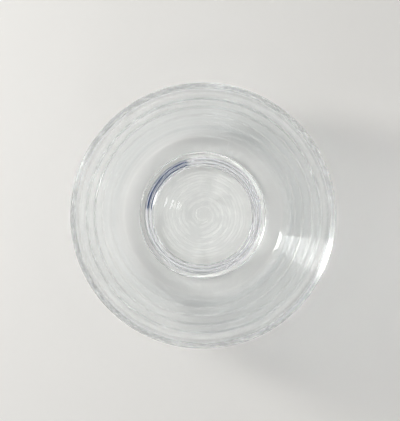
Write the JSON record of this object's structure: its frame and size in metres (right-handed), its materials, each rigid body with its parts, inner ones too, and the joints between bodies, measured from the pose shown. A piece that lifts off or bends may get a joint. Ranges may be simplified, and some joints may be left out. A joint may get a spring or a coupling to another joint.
{
  "type": "crystallizing dish",
  "caption": "Open round clear-glass dish with a wall that curves up and out to a rounded lip, and a foot ring with a conical inside under the floor.",
  "frame": {"origin": "centre of the foot's bearing ring, on the surface that the dish stands on", "axes": "+Z along the dish's axis of revolution, up through its open mouth"},
  "size_m": [0.095, 0.095, 0.055],
  "materials": {
    "clear_glass": "fire-polished, clear and smooth, with faint turning rings"
  },
  "bodies": {
    "root": {"dish": "clear_glass"}
  },
  "joints": []
}
